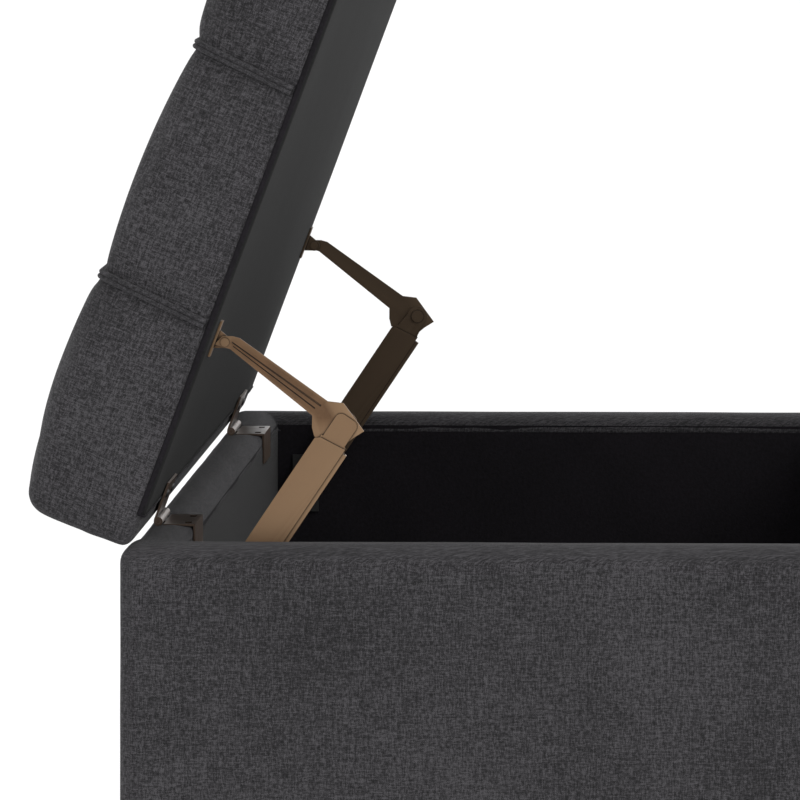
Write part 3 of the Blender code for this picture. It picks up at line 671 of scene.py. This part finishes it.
def lid_box_surface(counts):
    """Lattice points and quads of the lid's box, without the middle of its underside."""
    nx, ny, nz = counts
    xs = spaced(LID_LOW.x, LID_HIGH.x, nx)
    ys = spaced(LID_LOW.y, LID_HIGH.y, ny)
    zs = spaced(0.0, LID_EDGE_HEIGHT, nz)
    numbers, points, faces = {}, [], []

    def corner(i, j, k):
        if (i, j, k) not in numbers:
            numbers[i, j, k] = len(points)
            points.append((xs[i], ys[j], zs[k]))
        return numbers[i, j, k]

    def quad(*places):
        faces.append([corner(*place) for place in places])

    for i in range(nx):
        for j in range(ny):
            quad((i, j, nz), (i + 1, j, nz), (i + 1, j + 1, nz), (i, j + 1, nz))
            inside = min(xs[i] - LID_LOW.x, LID_HIGH.x - xs[i + 1], ys[j] - LID_LOW.y, LID_HIGH.y - ys[j + 1])
            if inside < UNDER_HEM:
                quad((i, j, 0), (i, j + 1, 0), (i + 1, j + 1, 0), (i + 1, j, 0))
    for k in range(nz):
        for i in range(nx):
            quad((i, 0, k), (i + 1, 0, k), (i + 1, 0, k + 1), (i, 0, k + 1))
            quad((i, ny, k), (i, ny, k + 1), (i + 1, ny, k + 1), (i + 1, ny, k))
        for j in range(ny):
            quad((0, j, k), (0, j, k + 1), (0, j + 1, k + 1), (0, j + 1, k))
            quad((nx, j, k), (nx, j + 1, k), (nx, j + 1, k + 1), (nx, j, k + 1))
    return points, faces


def spaced(low, high, count):
    """Places from low to high, closer together near both ends, where the edges are rounded."""
    edge = 5
    roll = 0.012
    inner = steps(low + roll, high - roll, count - 2 * edge)
    near = [low + roll * (1 - math.cos(math.pi / 2 * i / edge)) for i in range(edge)]
    far = [high - (place - low) for place in reversed(near)]
    return near + inner + far


def inflate(obj, held, most):
    """Blows the cover up a little as cloth, held along its seams, and caps how far it moves."""
    group = obj.vertex_groups.new(name="held")
    for index, weight in held.items():
        group.add([index], weight, "REPLACE")
    rest = np.array([v.co for v in obj.data.vertices])
    cloth = obj.modifiers.new("inflate", "CLOTH")
    settings = cloth.settings
    settings.quality = 5
    settings.mass = 0.25
    settings.use_pressure = True
    settings.uniform_pressure_force = 3.0
    settings.tension_stiffness = 12
    settings.compression_stiffness = 12
    settings.bending_stiffness = 0.35
    settings.vertex_group_mass = "held"
    settings.effector_weights.gravity = 0
    cloth.collision_settings.use_collision = False
    cloth.point_cache.frame_start = 1
    cloth.point_cache.frame_end = INFLATE_FRAMES
    scene = bpy.context.scene
    for number in range(1, INFLATE_FRAMES + 1):
        scene.frame_set(number)
    graph = bpy.context.evaluated_depsgraph_get()
    blown = np.array([v.co for v in obj.evaluated_get(graph).data.vertices])
    obj.modifiers.remove(cloth)
    scene.frame_set(1)
    move = blown - rest
    far = np.linalg.norm(move, axis=1, keepdims=True)
    moved = rest + move * np.minimum(1, most / np.maximum(far, 1e-9))
    obj.data.vertices.foreach_set("co", moved.astype(np.float32).ravel())
    obj.vertex_groups.remove(group)
    obj.data.update()


def make_lid_cushion(cloth):
    """The lid's padded cover: three pillows across, with rounded edges and a hem below."""
    points, faces = lid_box_surface(LID_CELLS)
    verts = [to_lid(*lid_point(*point)) for point in points]
    uvs = []
    for x, forward, up in points:
        side = LID_EDGE_HEIGHT - up
        over_end = abs(x) > LID_HIGH.x - 1e-6
        u = x + math.copysign(side, x) if over_end else x
        v = forward
        if not over_end and forward < LID_LOW.y + 1e-6:
            v = forward - side
        elif not over_end and forward > LID_HIGH.y - 1e-6:
            v = forward + side
        uvs.append((u, v))
    cushion = make_object("lid_cushion", verts, faces, cloth, uvs)
    face_outwards(cushion)
    held = {}
    for index, (x, forward, up) in enumerate(points):
        on_end = abs(x) > LID_HIGH.x - 1e-6
        slant = forward + SEAM_SLANT * (1 - up / LID_EDGE_HEIGHT) * on_end
        weight = 1 - smooth(min(seam_distance(slant) / 0.010, up / 0.012))
        if weight > 0:
            held[index] = weight
    inflate(cushion, held, INFLATE_MOST)
    finer = cushion.modifiers.new("finer", "SUBSURF")
    finer.levels = 1
    finer.render_levels = 1
    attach(cushion, "lid")
    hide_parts("lid_cover")


def sweep(name, path, normals, profile, material):
    """Runs an (across, out) profile along a path whose surface normals are given."""
    verts, uvs = [], []
    travelled = 0.0
    for i, (spot, normal) in enumerate(zip(path, normals)):
        ahead = path[min(i + 1, len(path) - 1)] - path[max(i - 1, 0)]
        across = ahead.normalized().cross(normal).normalized()
        if i:
            travelled += (spot - path[i - 1]).length
        for k, (a, out) in enumerate(profile):
            verts.append(spot + across * a + normal * out)
            uvs.append((travelled, k * 0.0012))
    columns = len(profile)
    last = (len(path) - 1) * columns
    faces = rings(len(path), columns)
    faces.append(tuple(reversed(range(columns))))
    faces.append(tuple(last + k for k in range(columns)))
    return make_object(name, verts, faces, material, uvs)


def seam_path(forward):
    """Along the valley between two pillows and down both of the lid's ends."""
    flat = []
    reach = LID_HIGH.x
    roll = LID_ROLL
    foot = 0.006
    height = LID_EDGE_HEIGHT
    down = [(-reach, z) for z in steps(foot, height - roll, 14)]
    bend = arc((-reach + roll, height - roll), roll, 165, 105, 4)
    along = [(x, height) for x in steps(-reach + roll, reach - roll, 150)]
    for x, up in down + bend + along + [(-x, z) for x, z in reversed(down + bend)]:
        rising = up < height - 1e-6
        share = up / height
        slant = SEAM_SLANT * (1 - share) if rising else 0.0
        lift = (crown(forward) - height) * share ** 1.3
        side = Vector((math.copysign(1, x), 0, 0))
        lean = smooth((abs(x) - reach + roll) / roll)
        angle = lean * math.pi / 2
        normal = (side * math.sin(angle) + Vector((0, 0, 1)) * math.cos(angle)).normalized()
        if up < height - roll + 1e-6:
            normal = side
        flat.append((Vector((x, forward - slant, up + lift)), normal))
    return [to_lid(*spot) for spot, _ in flat], [lid_direction(normal) for _, normal in flat]


def make_welts(cloth):
    """A double-ridged welt in each valley of the lid."""
    ridge, spread, lift = 0.0016, 0.0016, 0.0016
    profile = [
        (-0.0034, -0.0030), *arc((-spread, lift), ridge, 190, 25, 7),
        (0.0, lift - 0.0004), *arc((spread, lift), ridge, 155, -10, 7), (0.0034, -0.0030),
    ]
    for number, seam in enumerate(SEAMS, 1):
        path, normals = seam_path(seam)
        welt = face_outwards(sweep(f"lid_welt_{number}", path, normals, profile, cloth))
        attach(welt, "lid")


SHEET_MARGIN = 0.013  # from the cloth's edge to the lid's front
HINGE_MARGIN = 0.024  # the same, at the hinge side
SHEET_BEND = LID_HIGH.x - 0.0045  # where the cloth starts to turn up round the lid's ends
SHEET_TURN = 0.0075  # length of cloth that turns up
SHEET_REACH = SHEET_BEND + SHEET_TURN
END_FACING = Vector((0.85, 0, -0.53))  # which way the turned-up cloth faces


def under_edge(distance):
    """(out, up) round the lid's lower edge, at this distance from where the cloth bends."""
    angle = min(distance / SHEET_TURN, 1.0) * math.radians(58)
    return 0.00495 * math.sin(angle), 0.009 * (1 - math.cos(angle))


def hinge_wave(x, forward):
    """How uneven the cloth's edge is along the hinge side."""
    near = math.exp(-(forward - LID_LOW.y - HINGE_MARGIN) / 0.012)
    return 0.0022 * near * ripple(x, 0, 2, 17) + 0.0008 * near * ripple(x, 0, 4, 60)


def under_point(s, forward):
    """A point of the cloth under the lid; s runs along the length and round the ends."""
    front, back = LID_HIGH.y - SHEET_MARGIN, LID_LOW.y + HINGE_MARGIN
    edge = min(SHEET_BEND - abs(s), forward - back, front - forward)
    lift = -0.0008 - 0.00045 * (1 - math.exp(-max(edge, 0) / 0.02)) + 0.0003 * ripple(s, forward, 0, 8)
    out, up = under_edge(max(abs(s) - SHEET_BEND, 0))
    x = math.copysign(min(abs(s), SHEET_BEND) + out, s)
    return Vector((x, forward + hinge_wave(s, forward), min(lift, -0.0005) + up))


def ribbon_profile(edge, shoulder, shoulder_height, height):
    """A low rounded strip, its foot a little below the surface it lies on."""
    foot = -0.0004
    left = [(-edge, foot), (-shoulder, shoulder_height)]
    return left + [(0, height)] + [(-across, up) for across, up in reversed(left)]


def make_lid_dust_cover(cloth, black):
    """The non-woven sheet under the lid, drawn round the ends, with a narrow black strip round its edge and
    wider ones on the ends: painted shadow in the gap at the sheet's edge.
    """
    low, high = LID_LOW.y + HINGE_MARGIN, LID_HIGH.y - SHEET_MARGIN
    ends = steps(SHEET_BEND, SHEET_REACH, 6)
    along = [-s for s in reversed(ends)] + steps(-SHEET_BEND, SHEET_BEND, 190)[1:-1] + ends
    across = steps(low, high, 76)
    places = [(s, forward) for forward in across for s in along]
    verts = [to_lid(*under_point(*place)) for place in places]
    sheet = make_object("lid_underside_cloth", verts, grid(len(across), len(along)), cloth, places)
    thicken(face_outwards(sheet), 0.0004, offset=0)
    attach(sheet, "lid")
    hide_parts("lid_dust_cover")

    # Painted shadow: a narrow black strip runs round the sheet's edge.
    ring = [(s, low) for s in along] + [(SHEET_REACH, forward) for forward in across[1:]]
    ring += [(s, high) for s in reversed(along[:-1])]
    ring += [(-SHEET_REACH, forward) for forward in reversed(across[:-1])]
    path, normals = [], []
    for s, forward in ring:
        path.append(to_lid(*under_point(s, forward)))
        turned_up = abs(s) > SHEET_REACH - 0.004
        facing = (math.copysign(END_FACING.x, s), 0, END_FACING.z) if turned_up else (0, 0, -1)
        normals.append(lid_direction(Vector(facing)))
    profile = ribbon_profile(0.0009, 0.0008, 0.0007, 0.0010)
    shadow_strip = face_outwards(sweep("lid_cloth_shadow_strip", path, normals, profile, black))
    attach(shadow_strip, "lid")
    # Painted shadow: wider black strips on the lid's ends.
    profile = ribbon_profile(0.0019, 0.0017, 0.0009, 0.0012)
    for end, side in SIDES:
        path = [to_lid(*under_point(side * (SHEET_REACH - 0.001), forward)) for forward in across]
        facing = lid_direction(Vector((side * END_FACING.x, 0, END_FACING.z)))
        strip = face_outwards(sweep(f"{end}_lid_end_shadow_strip", path, [facing] * len(path), profile, black))
        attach(strip, "lid")


def make_base_cloth(cloth):
    """The non-woven sheet under the box, sagging a little inside its edges."""
    low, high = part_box("base_dust_cover")
    columns, rows = 120, 50
    verts = []
    for y in steps(low.y, high.y, rows):
        for x in steps(low.x, high.x, columns):
            edge = min(x - low.x, high.x - x, y - low.y, high.y - y)
            sag = 0.0003 + 0.0007 * (1 - math.exp(-edge / 0.03)) - 0.00025 * ripple(x, y, 0, 9)
            verts.append((x, y, high.z - sag))
    uvs = [vert[:2] for vert in verts]
    sheet = make_object("base_underside_cloth", verts, grid(rows + 1, columns + 1), cloth, uvs)
    thicken(sheet, 0.0004, offset=0)
    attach(sheet, "box")
    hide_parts("base_dust_cover")


# ---------------------------------------------------------------- small hardware


def screw(name, spot, normal, radius, material, body):
    """A pan-head screw with a cross recess, its head seated at spot."""
    mesh = bmesh.new()
    height = radius * 0.42
    shares = ((0, 0), (1, 0), (0.98, 0.35), (0.80, 0.78), (0.45, 0.98), (0, 1))
    verts = [mesh.verts.new((radius * out, 0, height * up)) for out, up in shares]
    edges = [mesh.edges.new(pair) for pair in zip(verts, verts[1:])]
    round_z = {"cent": (0, 0, 0), "axis": (0, 0, 1), "angle": math.tau, "steps": 20}
    bmesh.ops.spin(mesh, geom=verts + edges, use_duplicate=False, **round_z)
    bmesh.ops.remove_doubles(mesh, verts=mesh.verts, dist=0.000005)
    bmesh.ops.recalc_face_normals(mesh, faces=mesh.faces)
    data = bpy.data.meshes.new(name)
    mesh.to_mesh(data)
    mesh.free()
    data.materials.append(material)
    head = bpy.data.objects.new(name, data)
    bpy.context.scene.collection.objects.link(head)
    tools = []
    for angle in (0, math.pi / 2):
        slot = bmesh.new()
        bmesh.ops.create_cube(slot, size=1.0)
        bmesh.ops.scale(slot, verts=slot.verts, vec=(radius * 1.15, radius * 0.22, height * 1.1))
        bmesh.ops.translate(slot, verts=slot.verts, vec=(0, 0, height))
        bmesh.ops.rotate(slot, verts=slot.verts, matrix=Matrix.Rotation(angle, 3, "Z"))
        tool_data = bpy.data.meshes.new(f"{name}_slot")
        slot.to_mesh(tool_data)
        slot.free()
        tool = bpy.data.objects.new(f"{name}_slot", tool_data)
        bpy.context.scene.collection.objects.link(tool)
        cut = head.modifiers.new("slot", "BOOLEAN")
        cut.object = tool
        cut.operation = "DIFFERENCE"
        tools.append(tool)
    bpy.context.view_layer.update()
    apply_modifiers(head)
    for tool in tools:
        bpy.data.objects.remove(tool)
    head.data.shade_smooth()
    head.data.set_sharp_from_angle(angle=math.radians(30))
    turn = Vector(normal).to_track_quat("Z", "Y").to_matrix().to_4x4()
    head.matrix_world = Matrix.Translation(spot) @ turn @ Matrix.Rotation(0.6, 4, "Z")
    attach(head, body)


LEAF_OFF_AXIS = 0.0017  # from the hinge axis to the near face of each leaf
LEAF = 0.0015
KNUCKLE_R = 0.003
SLOT_OFF_EDGE = 0.00585  # from the wall leaf's inner face to the middle of its slots
LEAF_SCREW_SPREAD = 0.026
LID_SCREW_REACH = 0.0185  # from the hinge axis
PLATE_SCREW_SPREAD = 0.0155


def make_screws(dark):
    """The wall leaf's screws lie in its slots, the others on top of their plates."""
    lid_down = LID_FRAME.to_3x3() @ Vector((0, 0, -1))
    for end, side in SIDES:
        low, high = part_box(f"{end}_hinge_wall_leaf")
        middle = (low.x + high.x) / 2
        slot_foot = high.z - KNUCKLE_R - LEAF_OFF_AXIS - LEAF
        for number, shift in enumerate((-LEAF_SCREW_SPREAD, LEAF_SCREW_SPREAD)):
            spot = Vector((middle + shift, low.y + SLOT_OFF_EDGE, slot_foot))
            screw(f"{end}_wall_leaf_screw_{number}", spot, (0, 0, 1), 0.0021, dark, "box")
            under = to_lid(middle + shift, LID_SCREW_REACH, LEAF_OFF_AXIS - UNDERSIDE)
            screw(f"{end}_lid_leaf_screw_{number}", under, lid_down, 0.0030, dark, "lid")
        low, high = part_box(f"{end}_stay_base_plate")
        face = low.x if side > 0 else high.x
        for number, shift in enumerate((-PLATE_SCREW_SPREAD, PLATE_SCREW_SPREAD)):
            spot = Vector((face, (low.y + high.y) / 2, (low.z + high.z) / 2 + shift))
            screw(f"{end}_base_plate_screw_{number}", spot, (-side, 0, 0), 0.0032, dark, "box")


def finish_hardware(bronze, shaded_bronze, hinge_bronze, steel, black):
    """Finishes of the hinges and stays, and their worn edges."""
    for end, side in SIDES:
        # Painted shade: the right stay takes a darker copy of the same bronze.
        tone = bronze if side < 0 else shaded_bronze
        parts = ("housing", "liner", "arm", "head_rivet", "lid_bracket", "lid_rivet", "base_pin")
        stay = [f"{end}_stay_{part}" for part in parts]
        hinge = [f"{end}_hinge_{part}" for part in ("wall_leaf", "lid_leaf", "pin")]
        paint(stay, tone)
        paint(hinge, hinge_bronze)
        paint([f"{end}_stay_spring", f"{end}_stay_plunger"], steel)
        paint([f"{end}_stay_base_plate"], black)
        for name in stay + hinge:
            soften(frame["nodes"][name], 0.00035)


def main():
    make_camera()
    make_light()
    make_floor()
    scene = bpy.context.scene
    scene.view_settings.view_transform = "Standard"
    scene.view_settings.look = "None"

    cloth = linen("charcoal_linen", (0.0110, 0.0107, 0.0115), (0.028, 0.0267, 0.029), (0.061, 0.0585, 0.063))
    # The hinge wall's inner facing takes the same linen much darker: painted shade inside the box.
    painted_shade_tones = ((0.0048, 0.0046, 0.0048), (0.0092, 0.0088, 0.0092), (0.0165, 0.0158, 0.0165))
    facing = linen("shaded_linen", *painted_shade_tones)
    black = felt("black_lining_felt", (0.004, 0.0035, 0.0045), (0.009, 0.0075, 0.010))
    grey = felt("grey_nonwoven", (0.0074, 0.0074, 0.0074), (0.0119, 0.0119, 0.0119), cell=0.0015)
    bronze = bronzed("light_bronze", (0.108, 0.060, 0.031), (0.22, 0.14, 0.08))
    # A darker copy of the light bronze, for the right stay: painted shade.
    shaded_bronze = bronzed("shaded_bronze", (0.038, 0.0255, 0.016), (0.12, 0.082, 0.052))
    hinge_bronze = bronzed("hinge_bronze", (0.024, 0.015, 0.011), (0.13, 0.092, 0.070), roughness=0.30)
    lacquer = speckled("black_lacquer", (0.004, 0.004, 0.004), (0.008, 0.008, 0.008), 0.6)
    steel = speckled("zinc_steel", (0.35, 0.35, 0.36), (0.5, 0.5, 0.5), 0.35, 1.0)
    ply = wood("plywood_grain", (0.38, 0.25, 0.13), (0.58, 0.42, 0.25), 0.7)
    feet = wood("dark_stained_wood", (0.012, 0.008, 0.006), (0.035, 0.022, 0.014), 0.35, (60, 60, 4))
    plastic = speckled("black_nylon", (0.015, 0.015, 0.015), (0.03, 0.03, 0.03), 0.5)
    rubber = speckled("black_rubber", (0.02, 0.02, 0.02), (0.035, 0.035, 0.035), 0.8)
    foam = speckled("yellow_foam", (0.6, 0.55, 0.35), (0.8, 0.76, 0.55), 0.9, scale=900.0, bump=0.4)

    names = frame["nodes"]
    paint([n for n in names if n.endswith("_board") or n.endswith("_corner_block")], ply)
    paint([n for n in names if n.endswith("_foot")], feet)
    paint([n for n in names if n.endswith("_foot_bolt")], steel)
    paint([n for n in names if n.endswith("_glide")], plastic)
    paint([n for n in names if n.endswith("_lid_bumper")], rubber)
    paint(["lid_foam"], foam)
    for name in names:
        if name.endswith("_lid_bumper"):
            soften(names[name], 0.0012, 3)
        if name.endswith("_foot"):
            soften(names[name], 0.0010, 2)

    make_box_upholstery(cloth)
    make_back_facing(facing)
    make_lining(black)
    make_lid_cushion(cloth)
    make_welts(cloth)
    make_lid_dust_cover(grey, black)
    make_base_cloth(grey)
    finish_hardware(bronze, shaded_bronze, hinge_bronze, steel, lacquer)
    make_screws(plastic)


main()
